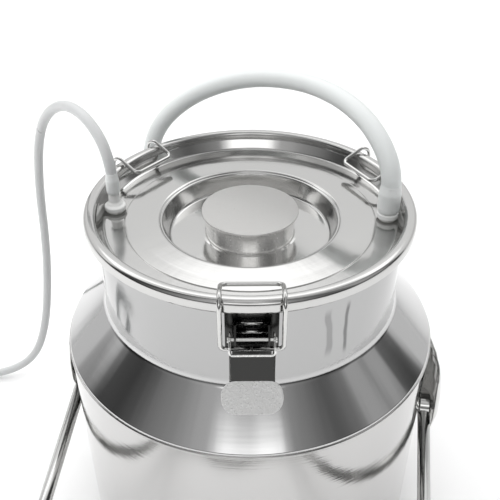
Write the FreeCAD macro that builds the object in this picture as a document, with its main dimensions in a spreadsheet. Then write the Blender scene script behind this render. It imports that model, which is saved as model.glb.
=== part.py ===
import FreeCAD, Part
import Sketcher
import math
import os

# Stainless bucket of a small pulsation milking machine: can, clamped lid, two hoses and a swing bail.
# Millimetres. Z is up, the can stands on z = 0, its axis is the Z axis, and the front latch faces -Y.

doc = FreeCAD.newDocument("milking_bucket")
V = FreeCAD.Vector

# ---------------------------------------------------------------- driving dimensions

SIZES = [
    ("body_radius", 137.5), ("sheet", 0.8), ("body_height", 178.0), ("bottom_corner", 14.0),
    ("neck_radius", 107.2), ("neck_sheet", 0.8), ("neck_foot", 213.2), ("neck_top", 271.1),
    ("lip_radius", 3.1), ("lip_level", 274.2),
    ("lid_radius", 115.0), ("bead_radius", 4.2), ("bead_level", 278.8), ("lid_sheet", 0.8),
    ("deck_level", 269.7), ("deck_inner", 87.9), ("step_radius", 80.5), ("step_level", 270.4),
    ("dish_radius", 64.0), ("dish_floor", 257.0),
    ("knob_radius", 34.2), ("knob_side", 31.4), ("knob_top", 274.9),
    ("stem_radius", 4.9), ("stem_hole", 5.2), ("flange_radius", 7.6), ("flange_depth", 5.5),
    ("milk_hose_diameter", 13.8), ("milk_cuff_radius", 7.8),
    ("vacuum_hose_diameter", 7.8), ("vacuum_cuff_radius", 4.7),
    ("ear_turn", 8.65), ("pivot_level", 100.5), ("bail_half_width", 144.0),
    ("bail_length", 290.0), ("bail_tube", 5.0), ("bail_corner", 80.0), ("bail_lean", 70.87),
    ("stud_radius", 4.0), ("eye_radius", 9.0), ("eye_width", 9.0),
    ("wire_radius", 1.4), ("wire_half_span", 18.7), ("axle_radius", 1.25),
    ("axle_reach", 118.5), ("axle_level", 258.6), ("crank", 8.0),
    ("hook_reach", 93.0), ("hook_level", 279.6), ("hook_arch", 7.4),
    ("lever_sheet", 1.2), ("lever_half_width", 13.6), ("tab_width", 37.2), ("tab_length", 20.5),
]

sheet = doc.addObject("Spreadsheet::Sheet", "Sizes")
for row, (alias, value) in enumerate(SIZES, start=1):
    sheet.set(f"A{row}", alias)
    sheet.set(f"B{row}", str(value))
    sheet.setAlias(f"B{row}", alias)
doc.recompute()


class Size:
    """A length that knows both its number and the spreadsheet formula that gives it."""

    def __init__(self, number, text):
        self.number = number
        self.text = text

    def __add__(self, other):
        other = size(other)
        return Size(self.number + other.number, f"({self.text} + {other.text})")

    def __sub__(self, other):
        other = size(other)
        return Size(self.number - other.number, f"({self.text} - {other.text})")

    def __mul__(self, factor):
        return Size(self.number * factor, f"({self.text} * {factor})")


def size(value):
    return value if isinstance(value, Size) else Size(float(value), str(float(value)))


D = {alias: Size(value, f"Sizes.{alias}") for alias, value in SIZES}
N = {alias: value for alias, value in SIZES}

NODES = []


def keep(item, label):
    """Names a finished sub-part and lists it for export."""
    item.Label = label
    NODES.append(item)
    return item


def scratch(kind, name):
    item = doc.addObject(kind, name)
    return item


def bind(item, **properties):
    """Ties properties of a primitive to the spreadsheet."""
    for name, value in properties.items():
        value = size(value)
        setattr(item, name, value.number)
        if "Sizes." in value.text:
            item.setExpression(name, value.text)
    return item


# ---------------------------------------------------------------- sketched profiles


def origin_plane(body, role):
    return next(item for item in body.Origin.OriginFeatures if item.Role == role)


def sketch_on(body, name, role):
    sketch = body.newObject("Sketcher::SketchObject", name)
    sketch.AttachmentSupport = [(origin_plane(body, role), "")]
    sketch.MapMode = "FlatFace"
    return sketch


def arc_between(start, end, radius, turn):
    """The shorter arc from start to end; turn is 1 where it bends left, -1 where it bends right."""
    chord = end - start
    half = chord.Length / 2.0
    rise = math.sqrt(max(radius * radius - half * half, 0.0))
    centre = (start + end) * 0.5 + V(-chord.y, chord.x, 0).normalize() * rise * turn
    first, last = (start, end) if turn > 0 else (end, start)
    angles = [math.atan2(point.y - centre.y, point.x - centre.x) for point in (first, last)]
    if angles[1] < angles[0]:
        angles[1] += 2.0 * math.pi
    return Part.ArcOfCircle(Part.Circle(centre, V(0, 0, 1), radius), angles[0], angles[1])


def outline(sketch, corners):
    """Draws a closed outline. A corner is (x, y), or (x, y, radius, turn) before an arc to the next."""
    points = [V(size(c[0]).number, size(c[1]).number, 0) for c in corners]
    count = len(points)
    ends = []
    for i, corner in enumerate(corners):
        start, end = points[i], points[(i + 1) % count]
        if len(corner) == 4:
            sketch.addGeometry(arc_between(start, end, size(corner[2]).number, corner[3]), False)
            ends.append((1, 2) if corner[3] > 0 else (2, 1))
        else:
            sketch.addGeometry(Part.LineSegment(start, end), False)
            ends.append((1, 2))
    for i in range(count):
        follower = (i + 1) % count
        sketch.addConstraint(constraint("Coincident", i, ends[i][1], follower, ends[follower][0]))
    for i, corner in enumerate(corners):
        across, up = size(corner[0]), size(corner[1])
        pin(sketch, "DistanceX", i, ends[i][0], across)
        pin(sketch, "DistanceY", i, ends[i][0], up)
        if len(corner) == 4:
            index = sketch.addConstraint(constraint("Radius", i, size(corner[2]).number))
            tie(sketch, index, size(corner[2]))
    return sketch


def constraint(*values):
    return Sketcher.Constraint(*values)


def pin(sketch, kind, edge, end, value):
    """Holds one coordinate of a corner, on the axis itself where it is zero."""
    if abs(value.number) < 1e-9:
        axis = -2 if kind == "DistanceX" else -1
        sketch.addConstraint(constraint("PointOnObject", edge, end, axis))
        return
    index = sketch.addConstraint(constraint(kind, -1, 1, edge, end, value.number))
    tie(sketch, index, value)


def tie(sketch, index, value):
    if "Sizes." in value.text:
        sketch.setExpression(f"Constraints[{index}]", value.text)


def turned(name, corners, sweep=360.0):
    """A body turned about the Z axis from an outline of (radius, height) corners."""
    body = doc.addObject("PartDesign::Body", name)
    sketch = outline(sketch_on(body, name + "_outline", "XZ_Plane"), corners)
    turn = body.newObject("PartDesign::Revolution", name + "_turn")
    turn.Profile = sketch
    turn.ReferenceAxis = (sketch, ["V_Axis"])
    turn.Angle = sweep
    body.Tip = turn
    doc.recompute()
    return body


def plate(name, role, corners, thickness):
    """A body padded evenly to both sides of an origin plane."""
    body = doc.addObject("PartDesign::Body", name)
    sketch = outline(sketch_on(body, name + "_outline", role), corners)
    pad = body.newObject("PartDesign::Pad", name + "_pad")
    pad.Profile = sketch
    thickness = size(thickness)
    pad.Length = thickness.number
    if "Sizes." in thickness.text:
        pad.setExpression("Length", thickness.text)
    pad.SideType = "Symmetric"
    body.Tip = pad
    doc.recompute()
    return body


def drilled(body, name, spots):
    """Round holes straight through a body along Z: spots are (x, y, radius)."""
    sketch = sketch_on(body, name + "_holes", "XY_Plane")
    for x, y, radius in spots:
        index = sketch.addGeometry(Part.Circle(V(x, y, 0), V(0, 0, 1), size(radius).number), False)
        tie(sketch, sketch.addConstraint(constraint("Radius", index, size(radius).number)), size(radius))
    pocket = body.newObject("PartDesign::Pocket", name + "_drill")
    pocket.Profile = sketch
    pocket.Type = "ThroughAll"
    pocket.SideType = "Symmetric"
    body.Tip = pocket
    doc.recompute()
    return body


# ---------------------------------------------------------------- primitives and booleans


def cylinder(name, radius, height, base, axis=V(0, 0, 1)):
    item = bind(scratch("Part::Cylinder", name), Radius=radius, Height=height)
    item.Placement = FreeCAD.Placement(base, FreeCAD.Rotation(V(0, 0, 1), axis))
    return item


def block(name, lowest, highest):
    item = scratch("Part::Box", name)
    bind(item, Length=highest.x - lowest.x, Width=highest.y - lowest.y, Height=highest.z - lowest.z)
    item.Placement.Base = lowest
    return item


def cut(name, base, tool):
    item = scratch("Part::Cut", name)
    item.Base, item.Tool = base, tool
    return item


def fuse(name, *shapes):
    item = scratch("Part::MultiFuse", name)
    item.Shapes = list(shapes)
    return item


def common(name, *shapes):
    item = scratch("Part::MultiCommon", name)
    item.Shapes = list(shapes)
    return item


def rounded_line(points, radii):
    """Straight runs joined by tangent arcs; one radius per inner point."""
    edges = []
    at = points[0]
    for before, corner, after, radius in zip(points, points[1:], points[2:], radii):
        back = (before - corner).normalize()
        on = (after - corner).normalize()
        half = (math.pi - back.getAngle(on)) / 2.0
        reach = radius * math.tan(half)
        first, last = corner + back * reach, corner + on * reach
        bisector = (back + on).normalize()
        middle = corner + bisector * (radius / math.cos(half) - radius)
        if (first - at).Length > 1e-4:
            edges.append(Part.LineSegment(at, first).toShape())
        edges.append(Part.Arc(first, middle, last).toShape())
        at = last
    edges.append(Part.LineSegment(at, points[-1]).toShape())
    return Part.Wire(edges)


def swept(name, line, radius):
    """A round bar along a line, as a sweep of a circle."""
    path = scratch("Part::Feature", name + "_path")
    path.Shape = line
    start = line.Edges[0]
    heading = start.tangentAt(start.FirstParameter)
    ring = bind(scratch("Part::Circle", name + "_ring"), Radius=radius)
    ring.Placement = FreeCAD.Placement(
        start.valueAt(start.FirstParameter), FreeCAD.Rotation(V(0, 0, 1), heading)
    )
    bar = scratch("Part::Sweep", name)
    bar.Sections = [ring]
    bar.Spine = (path, [f"Edge{i + 1}" for i in range(len(line.Edges))])
    bar.Solid = True
    bar.Frenet = False
    return bar


def turn_about_z(item, degrees):
    item.Placement = FreeCAD.Placement(V(), FreeCAD.Rotation(V(0, 0, 1), degrees)).multiply(item.Placement)
    return item


# ---------------------------------------------------------------- can

R, S = D["body_radius"], D["sheet"]
corner = D["bottom_corner"]
bead_out = R + 0.8
keep(
    turned(
        "can_body",
        [
            (R - corner, 0.0, corner, 1),
            (R, corner),
            (R, D["body_height"] - 2.4),
            (bead_out, D["body_height"] - 1.6),
            (bead_out, D["body_height"] - 0.6),
            (R + 0.3, D["body_height"]),
            (R - S, D["body_height"]),
            (R - S, corner, corner - S, -1),
            (R - corner, S),
        ],
    ),
    "can_body",
)
keep(turned("can_base", [(0, 0.0), (R - corner, 0.0), (R - corner, S), (0, S)]), "can_base")
neck, thin = D["neck_radius"], D["neck_sheet"]
foot_level = D["neck_foot"]
keep(
    turned(
        "can_shoulder",
        [
            (R, D["body_height"], 4.0, 1),
            (R - 1.1, D["body_height"] + 2.6),
            (neck + 2.8, foot_level - 5.6, 8.0, -1),
            (neck, foot_level),
            (neck, D["neck_top"]),
            (neck - thin, D["neck_top"]),
            (neck - thin, foot_level, 8.8, 1),
            (neck + 2.2, foot_level - 6.2),
            (R - 1.7, D["body_height"] + 2.0, 3.2, -1),
            (R - S, D["body_height"]),
        ],
    ),
    "can_shoulder",
)
inner = neck - thin
lip, lip_level = D["lip_radius"], D["lip_level"]
keep(
    turned(
        "can_rim",
        [
            (inner, D["neck_top"]),
            (inner, lip_level, lip, -1),
            (inner + lip, lip_level + lip, lip, -1),
            (inner + lip * 2, lip_level, lip, -1),
            (inner + lip, lip_level - lip),
        ],
    ),
    "can_rim",
)

# ---------------------------------------------------------------- lid

lid, bead, skin = D["lid_radius"], D["bead_radius"], D["lid_sheet"]
bead_level, deck, step = D["bead_level"], D["deck_level"], D["step_level"]
dish, dish_floor = D["dish_radius"], D["dish_floor"]
crown = lid - bead
cover = turned(
    "lid_cover",
    [
        (0, dish_floor - skin),
        (dish - 8.6, dish_floor - skin, 4.6, 1),
        (dish - 5.4, dish_floor + 1.6),
        (dish - 1.6, step - 2.4, 1.5, -1),
        (dish + 0.2, step - skin),
        (D["step_radius"], step - skin),
        (D["deck_inner"], deck - skin),
        (lid - 13.7, deck - skin, 3.9, 1),
        (lid - 9.8, deck + 2.7),
        (crown - (bead - skin), bead_level, bead - skin, -1),
        (crown, bead_level + bead - skin, bead - skin, -1),
        (lid - skin, bead_level),
        (lid - skin, bead_level - 3.4),
        (lid - skin - 0.5, bead_level - 3.9),
        (lid - 0.3, bead_level - 3.9),
        (lid, bead_level - 3.5),
        (lid, bead_level, bead, 1),
        (crown, bead_level + bead, bead, 1),
        (crown - bead, bead_level),
        (lid - 10.7, deck + 2.9, 3.0, -1),
        (lid - 13.7, deck),
        (D["deck_inner"], deck),
        (D["step_radius"], step),
        (dish, step, 2.4, 1),
        (dish - 2.4, step - 2.0),
        (dish - 6.3, dish_floor + 2.0, 3.0, -1),
        (dish - 8.6, dish_floor),
        (0, dish_floor),
    ],
)

FITTING_REACH = 96.4
VACUUM_AT = V(-96.0, 6.6, 0)
MILK_AT = V(96.4, -3.8, 0)
hole = D["stem_hole"]
drilled(cover, "lid_cover", [(VACUUM_AT.x, VACUUM_AT.y, hole), (MILK_AT.x, MILK_AT.y, hole)])
keep(cover, "lid_cover")

seal = 3.2
keep(
    turned(
        "lid_gasket",
        [
            (crown - 2.5, bead_level - 1.2),
            (crown + 2.5, bead_level - 1.2),
            (crown + seal, bead_level, seal, 1),
            (crown, bead_level + seal, seal, 1),
            (crown - seal, bead_level),
        ],
    ),
    "lid_gasket",
)
side, top = D["knob_side"], D["knob_top"]
keep(
    turned(
        "lid_knob",
        [
            (side - S, dish_floor),
            (side, dish_floor),
            (side + 0.2, top - 3.2),
            (D["knob_radius"] - 0.7, top - 1.9),
            (D["knob_radius"], top - 1.1),
            (D["knob_radius"] - 0.1, top - 0.4),
            (D["knob_radius"] - 0.8, top),
            (0, top),
            (0, top - S),
            (side - S - 0.1, top - S),
        ],
    ),
    "lid_knob",
)


def fitting(name, spot, bore, barb, cuff_start, cuff_radius, tip):
    """A barbed hose fitting through the lid with its seal, nut and the swollen end of its hose."""
    stem, flange, depth = D["stem_radius"], D["flange_radius"], D["flange_depth"]
    body = turned(
        name + "_fitting",
        [
            (bore, -14.0), (stem, -14.0), (stem, 0.8), (flange - 1.2, 0.8), (flange, 2.0),
            (flange, depth - 0.8), (flange - 0.8, depth), (barb, depth), (barb, tip - 9.0),
            (barb + 0.6, tip - 8.6), (barb, tip - 4.4), (barb + 0.6, tip - 4.0), (barb - 0.4, tip), (bore, tip),
        ],
    )
    ring = turned(name + "_seal", [(stem + 0.1, 0.0), (flange - 1.6, 0.0), (flange - 1.6, 0.8), (stem + 0.1, 0.8)])
    hexagon = scratch("Part::Prism", name + "_hexagon")
    hexagon.Polygon = 6
    bind(hexagon, Circumradius=8.66, Height=5.0)
    hexagon.Placement.Base = V(0, 0, -6.1)
    nut = cut(name + "_nut", hexagon, cylinder(name + "_nut_bore", stem + 0.1, 8.0, V(0, 0, -7.5)))
    cuff = turned(
        name + "_hose_cuff",
        [
            (barb + 0.7, cuff_start), (cuff_radius - 0.5, cuff_start), (cuff_radius, cuff_start + 0.8),
            (cuff_radius, tip - 2.5), (cuff_radius - 0.5, tip), (barb + 0.7, tip),
        ],
    )
    for item, label in ((body, "fitting"), (ring, "seal"), (nut, "nut"), (cuff, "hose_cuff")):
        item.Placement = FreeCAD.Placement(V(spot.x, spot.y, N["deck_level"]), FreeCAD.Rotation())
        keep(item, f"{name}_{label}")


fitting("milk", MILK_AT, 3.2, 4.6, 6.9, D["milk_cuff_radius"], 24.0)
fitting("vacuum", VACUUM_AT, 1.6, 3.2, 14.8, D["vacuum_cuff_radius"], 27.4)

# ---------------------------------------------------------------- hoses


def hose_radii(points, label):
    """Arc radii from the runs; prints the tightest."""
    radii = []
    for before, corner, after in zip(points, points[1:], points[2:]):
        runs = ((corner - before).Length, (after - corner).Length)
        half = (corner - before).getAngle(after - corner) / 2.0
        radii.append(0.45 * min(runs) / math.tan(half))
    print(label, "radii", [round(radius, 1) for radius in radii])
    return radii


def hose(name, diameter, points, coil_ring):
    """A stretch of hose as far as the coil that it belongs to."""
    points = [V(*point) for point in points]
    line = rounded_line(points, hose_radii(points, name))
    section = math.pi * (N[diameter] / 2.0) ** 2
    print(name, "length", round(line.Length, 1), "section x length", round(section * line.Length, 1))
    return keep(cut(name, swept(name + "_whole", line, D[diameter] * 0.5), coil_ring), name)


MILK_TIP = N["deck_level"] + 24.0
VACUUM_TIP = N["deck_level"] + 27.4
STRAP = 0.9
MILK_FLOOR = STRAP + N["milk_hose_diameter"] / 2.0
VACUUM_FLOOR = STRAP + N["vacuum_hose_diameter"] / 2.0

MILK_ROUTE = [
    (96.4, -3.8, MILK_TIP), (96.4, -3.8, 308.7), (93.6, 0.5, 322.8), (88.3, 8.5, 334.3), (79.7, 21.5, 343.3),
    (65.6, 42.9, 347.5), (37.0, 80.0, 343.0), (-4.0, 110.0, 330.0), (-46.0, 122.0, 311.0), (-76.0, 115.0, 286.0),
    (-87.0, 116.0, 250.0), (-93.0, 128.0, 203.0), (-96.0, 140.0, 140.0), (-93.0, 153.0, 78.0),
    (-86.0, 173.0, 34.0), (-79.0, 200.0, 11.0), (-76.0, 230.0, MILK_FLOOR), (-76.0, 262.0, MILK_FLOOR),
]
VACUUM_ROUTE = [
    (-96.0, 6.6, VACUUM_TIP), (-96.0, 6.6, 309.1), (-99.2, 10.6, 320.0), (-104.9, 17.8, 327.7),
    (-116.8, 32.8, 332.5), (-138.0, 60.0, 328.5), (-161.0, 88.0, 306.0), (-177.5, 110.5, 270.0),
    (-190.0, 129.0, 216.0), (-195.8, 137.0, 158.0), (-200.0, 132.5, 108.0), (-207.5, 121.5, 62.0),
    (-222.0, 115.5, 26.0), (-249.0, 111.5, 8.0), (-284.0, 107.5, VACUUM_FLOOR), (-312.0, 105.4, VACUUM_FLOOR),
    (-340.0, 104.9, VACUUM_FLOOR),
]
MILK_TAIL = [
    (76.0, 262.0, 21.6), (77.0, 236.0, 21.2), (85.0, 211.0, 13.0), (99.0, 188.0, 8.2), (116.0, 169.0, 8.2),
]
VACUUM_TAIL = [
    (-386.9, 58.0, 12.6), (-386.5, 40.0, 12.4), (-384.0, 22.0, 8.5), (-381.0, 4.0, 6.1), (-379.5, -14.0, 6.1),
]


def octagon(inside, outside, low, high, corner):
    """A rectangle of (radius, height) corners with its four corners taken off."""
    return [
        (inside + corner, low), (outside - corner, low), (outside, low + corner), (outside, high - corner),
        (outside - corner, high), (inside + corner, high), (inside, high - corner), (inside, low + corner),
    ]


def coil(name, centre, middle, diameter, turns_wide, sweeps, tie_turns):
    """The wound hose as one solid: a ring for each level, swept as far round as that level's turns go."""
    half_width = D[diameter] * (turns_wide / 2.0)
    inside, outside = size(middle) - half_width, size(middle) + half_width
    corner_cut = D[diameter] * 0.28
    levels = []
    for level, sweep in enumerate(sweeps):
        low = D[diameter] * level + STRAP
        if level and sweep == sweeps[level - 1]:
            continue
        high = D[diameter] * (level + sweeps[level:].count(sweep)) + STRAP
        levels.append(turned(f"{name}_level_{level}", octagon(inside, outside, low, high, corner_cut), sweep))
    ring = fuse(name, *levels) if len(levels) > 1 else levels[0]
    ring.Placement.Base = centre
    keep(ring, name)
    top = D[diameter] * len(sweeps) + STRAP
    for index, turn in enumerate(tie_turns):
        strap_corners = octagon(inside - STRAP, outside + STRAP, size(0.0), top + STRAP, corner_cut)
        strap = plate(f"{name}_strap_{index}", "XZ_Plane", strap_corners, 8.0)
        strap.Placement = FreeCAD.Placement(centre, FreeCAD.Rotation(V(0, 0, 1), turn))
        keep(cut(f"{name}_tie_cut_{index}", strap, ring), f"{name}_tie_{index + 1}")
    return ring


def connector(name, end, before, bore, barb, flange):
    """A plain flanged spigot in the free end of a hose, lying on the floor."""
    piece = turned(
        name,
        [
            (bore, 0.0), (barb, 0.0), (barb, 1.0), (flange - 0.4, 1.0), (flange, 1.4), (flange, 4.6),
            (flange - 0.4, 5.0), (barb, 5.0), (barb, 21.5), (barb - 0.5, 22.0), (bore, 22.0),
        ],
    )
    heading = V(*end) - V(*before)
    piece.Placement = FreeCAD.Placement(V(*end), FreeCAD.Rotation(V(0, 0, 1), heading))
    return keep(piece, name)


milk_ring = coil("milk_hose_coil", V(0.0, 262.0, 0.0), 76.0, "milk_hose_diameter", 1, (360.0, 180.0), (55.0, 125.0))
vacuum_ring = coil("vacuum_hose_coil", V(-340.0, 58.0, 0.0), 43.0, "vacuum_hose_diameter", 2, (360.0, 360.0), (-5.0, -95.0))
hose("milk_hose", "milk_hose_diameter", MILK_ROUTE, milk_ring)
hose("vacuum_hose", "vacuum_hose_diameter", VACUUM_ROUTE, vacuum_ring)
hose("milk_hose_tail", "milk_hose_diameter", MILK_TAIL, milk_ring)
hose("vacuum_hose_tail", "vacuum_hose_diameter", VACUUM_TAIL, vacuum_ring)
connector("milk_hose_connector", MILK_TAIL[-1], MILK_TAIL[-2], 3.2, 4.6, 8.1)
connector("vacuum_hose_connector", VACUUM_TAIL[-1], VACUUM_TAIL[-2], 1.4, 2.6, 6.0)

# ---------------------------------------------------------------- ears and carry bail


def bulge(name, grow, levels):
    """A domed solid against the can, lofted through D-shaped sections (height, reach, half width)."""
    sections = []
    for index, (height, reach, half) in enumerate(levels):
        root, reach, half = 131.0, reach + grow, half + grow
        arc = Part.Arc(V(root, -half, height), V(reach, 0, height), V(root, half, height)).toShape()
        line = Part.LineSegment(V(root, half, height), V(root, -half, height)).toShape()
        section = scratch("Part::Feature", f"{name}_section_{index}")
        section.Shape = Part.Wire([arc, line])
        sections.append(section)
    dome = scratch("Part::Loft", name)
    dome.Sections = sections
    dome.Solid = True
    dome.Ruled = True
    return dome


EAR_LEVELS = [(74.0, 149.6, 23.0), (88.0, 153.4, 25.4), (100.5, 155.6, 26.4), (118.0, 155.0, 26.4),
              (136.0, 152.6, 25.4), (152.0, 148.4, 23.0), (166.0, 142.4, 18.0), (172.0, 138.6, 13.0)]
EAR_HOLLOW = [(60.0, 146.0, 21.0)] + EAR_LEVELS[:-1]
EAR_SHEET = 1.4
SLOT_REACH = N["bail_half_width"] + N["bail_tube"] + 0.8


def ear(name, turn, open_side):
    """A pressed ear, open below; its slot runs from the open side to just past the pivot."""
    dome = bulge(name + "_dome", 0.0, EAR_LEVELS)
    shell = cut(name + "_shell", dome, bulge(name + "_hollow", -EAR_SHEET, EAR_HOLLOW))
    past = N["bail_tube"] + 1.4
    low, high = sorted((open_side * 60.0, -open_side * past))
    slot = block(name + "_slot", V(120, low, 40), V(SLOT_REACH, high, 200))
    trimmed = cut(name, cut(name + "_slotted", shell, slot), cylinder(name + "_wall", R, 300.0, V()))
    return keep(turn_about_z(trimmed, turn), name)


# In an ear's own frame +X points out of the can; both slots open towards the front of the can.
ear("ear_right", -N["ear_turn"], -1)
ear("ear_left", 180.0 - N["ear_turn"], 1)

half, tube = D["bail_half_width"], D["bail_tube"]


def stud(name, turn):
    """The pivot that is welded to the can inside an ear, with its weld flange."""
    pin_end = 153.7
    bar = cylinder(name + "_bar", D["stud_radius"], pin_end - N["body_radius"], V(N["body_radius"], 0, N["pivot_level"]), V(1, 0, 0))
    flange = cylinder(name + "_flange", 8.0, 4.0, V(N["body_radius"] - 2.5, 0, N["pivot_level"]), V(1, 0, 0))
    item = cut(name, fuse(name + "_joined", bar, flange), cylinder(name + "_wall", R, 300.0, V()))
    return keep(turn_about_z(item, turn), name)


stud("bail_stud_right", -N["ear_turn"])
stud("bail_stud_left", 180.0 - N["ear_turn"])


def bail_place(item):
    """Swings a bail piece, drawn hanging straight down from its pivots, forward to where it lies."""
    swing = FreeCAD.Rotation(V(1, 0, 0), -N["bail_lean"])
    turn = FreeCAD.Rotation(V(0, 0, 1), -N["ear_turn"])
    item.Placement = FreeCAD.Placement(V(0, 0, N["pivot_level"]), turn.multiply(swing))
    item.setExpression("Placement.Base.z", "Sizes.pivot_level")
    return item


def eye(name, sign):
    middle = sign * N["bail_half_width"]
    wide = N["eye_width"] / 2.0
    disc = cylinder(name + "_disc", D["eye_radius"], D["eye_width"], V(middle - wide, 0, 0), V(1, 0, 0))
    bore = cylinder(name + "_bore", D["stud_radius"] + 0.08, D["eye_width"] + 2.0, V(middle - wide - 1, 0, 0), V(1, 0, 0))
    return keep(bail_place(cut(name, disc, bore)), name)


eye("bail_eye_left", -1)
eye("bail_eye_right", 1)
reach, wide, length = 7.0, N["bail_half_width"], N["bail_length"]
bail_line = rounded_line(
    [V(-wide, 0, -reach), V(-wide, 0, -length), V(wide, 0, -length), V(wide, 0, -reach)],
    [N["bail_corner"], N["bail_corner"]],
)
hollow_tube = cut("bail_tube_wall", swept("bail_tube_outer", bail_line, tube), swept("bail_tube_bore", bail_line, tube - 1.2))
bail = cut(
    "carry_bail",
    hollow_tube,
    cylinder("bail_eye_clearance", D["eye_radius"], half * 2.4, V(-wide * 1.2, 0, 0), V(1, 0, 0)),
)
keep(bail_place(bail), "carry_bail")

# ---------------------------------------------------------------- toggle latches

AXLE = V(N["axle_reach"], 0, N["axle_level"])
OVER_CENTRE = math.radians(5.7)
CRANK = AXLE + V(-math.sin(OVER_CENTRE), 0, -math.cos(OVER_CENTRE)) * N["crank"]
LATCHES = {"front": -89.4, "right": 29.5, "left": 142.0}
CHEEK = 9.9


def across(name, radius, half_span, at):
    """A round bar along the latch's width."""
    return cylinder(name, radius, half_span * 2.0, at + V(0, -half_span, 0), V(0, 1, 0))


def side_plate(name, corners, at, thickness):
    """A plate that stands square to the can, at a distance to one side of the latch's middle."""
    body = plate(name, "XZ_Plane", corners, thickness)
    body.Placement.Base = V(0, at, 0)
    return body


def latch(place, turn):
    name = "latch_" + place
    # The base: a curved foot on the neck, two cheeks that carry the axle, and two pressed ribs.
    tube_outer = cylinder(name + "_foot_outer", neck + 1.3, 46.0, V(0, 0, 226.0))
    tube_inner = cylinder(name + "_foot_inner", neck, 50.0, V(0, 0, 224.0))
    window = fuse(
        name + "_foot_window",
        block(name + "_foot_stem", V(90, -12.0, 226.0), V(120, 12.0, 260.0)),
        block(name + "_foot_head", V(90, -16.2, 243.0), V(120, 16.2, 269.4)),
    )
    foot_plate = common(name + "_foot", cut(name + "_foot_ring", tube_outer, tube_inner), window)
    cheek_corners = [(107.9, 240.0), (112.0, 253.4), (121.4, 255.4), (121.4, 261.8), (114.0, 265.4), (107.9, 266.0)]
    cheeks = [
        side_plate(f"{name}_cheek_{index}", cheek_corners, at, 1.2) for index, at in enumerate((-CHEEK, CHEEK))
    ]
    ribs = [
        across(f"{name}_rib_{index}", 1.0, CHEEK, V(109.2, 0, level)) for index, level in enumerate((263.0, 256.6))
    ]
    base = cut(
        name + "_base",
        fuse(name + "_base_parts", foot_plate, *cheeks, *ribs),
        fuse(
            name + "_base_cuts",
            across(name + "_base_bore", D["axle_radius"] + 0.01, 20.0, AXLE),
            cylinder(name + "_neck", neck, 60.0, V(0, 0, 215.0)),
        ),
    )
    # The axle, riveted over outside the lever.
    rivet = N["lever_half_width"] + 0.15
    axle = fuse(
        name + "_axle",
        across(name + "_axle_bar", D["axle_radius"], rivet + 0.8, AXLE),
        cylinder(name + "_head_0", 2.1, 0.8, AXLE + V(0, rivet, 0), V(0, 1, 0)),
        cylinder(name + "_head_1", 2.1, 0.8, AXLE - V(0, rivet, 0), V(0, -1, 0)),
    )
    # The lever: a channel with two cheeks, and a flared oval finger tab.
    side_at = N["lever_half_width"] - N["lever_sheet"] / 2.0
    side_corners = [(114.2, 247.0), (121.6, 230.6), (125.2, 230.6), (125.2, 256.0), (122.6, 262.4),
                    (115.6, 262.8), (113.8, 259.0)]
    sides = [
        side_plate(f"{name}_side_{index}", side_corners, at, D["lever_sheet"])
        for index, at in enumerate((-side_at, side_at))
    ]
    wide = N["lever_half_width"]
    web = block(name + "_web", V(124.0, -wide, 230.6), V(125.2, wide, 251.8))
    long, broad, round_end = N["tab_length"], N["tab_width"] / 2.0, 9.0
    tab_sheet = plate(
        name + "_tab",
        "YZ_Plane",
        [
            (-broad + round_end, 0), (-broad, -round_end), (-broad, -long + round_end), (-broad + round_end, -long),
            (broad - round_end, -long), (broad, -long + round_end), (broad, -round_end), (broad - round_end, 0),
        ],
        D["lever_sheet"],
    )
    rounded = []
    for index, (y, z) in enumerate(
        ((-broad + round_end, -round_end), (-broad + round_end, -long + round_end),
         (broad - round_end, -long + round_end), (broad - round_end, -round_end))
    ):
        rounded.append(cylinder(f"{name}_tab_round_{index}", round_end, D["lever_sheet"], V(-0.6, y, z), V(1, 0, 0)))
    tab = fuse(name + "_tab_shape", tab_sheet, *rounded)
    tab.Placement = FreeCAD.Placement(V(124.7, 0, 231.4), FreeCAD.Rotation(V(0, 1, 0), -30.0))
    lever = cut(
        name + "_lever",
        fuse(name + "_lever_parts", *sides, web, tab),
        fuse(
            name + "_lever_bores",
            across(name + "_lever_axle_bore", D["axle_radius"] + 0.06, 20.0, AXLE),
            across(name + "_lever_wire_bore", D["wire_radius"] + 0.06, 20.0, CRANK),
        ),
    )
    # The wire hook: its two ends meet inside the lever, and it passes over the lid's rim.
    span, arch = N["wire_half_span"], N["hook_arch"]
    bead_centre = V(N["lid_radius"] - N["bead_radius"], 0, N["bead_level"])
    outer_knee = bead_centre + V(math.cos(math.radians(28)), 0, math.sin(math.radians(28))) * (arch / math.cos(math.radians(28)))
    upper_knee = bead_centre + V(math.cos(math.radians(84)), 0, math.sin(math.radians(84))) * (arch / math.cos(math.radians(28)))
    hook = V(N["hook_reach"], 0, N["hook_level"])
    aside = V(0, span, 0)
    line = rounded_line(
        [CRANK + V(0, 0.4, 0), CRANK + aside, outer_knee + aside, upper_knee + aside, hook + aside,
         hook - aside, upper_knee - aside, outer_knee - aside, CRANK - aside, CRANK - V(0, 0.4, 0)],
        [3.0, arch - 0.1, arch - 0.1, 4.5, 4.5, arch - 0.1, arch - 0.1, 3.0],
    )
    wire = swept(name + "_wire", line, D["wire_radius"])
    for item, label in ((base, "base"), (axle, "axle"), (lever, "lever"), (wire, "wire")):
        keep(turn_about_z(item, turn), f"latch_{label}_{place}")


for place, turn in LATCHES.items():
    latch(place, turn)

# ---------------------------------------------------------------- check and export

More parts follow.
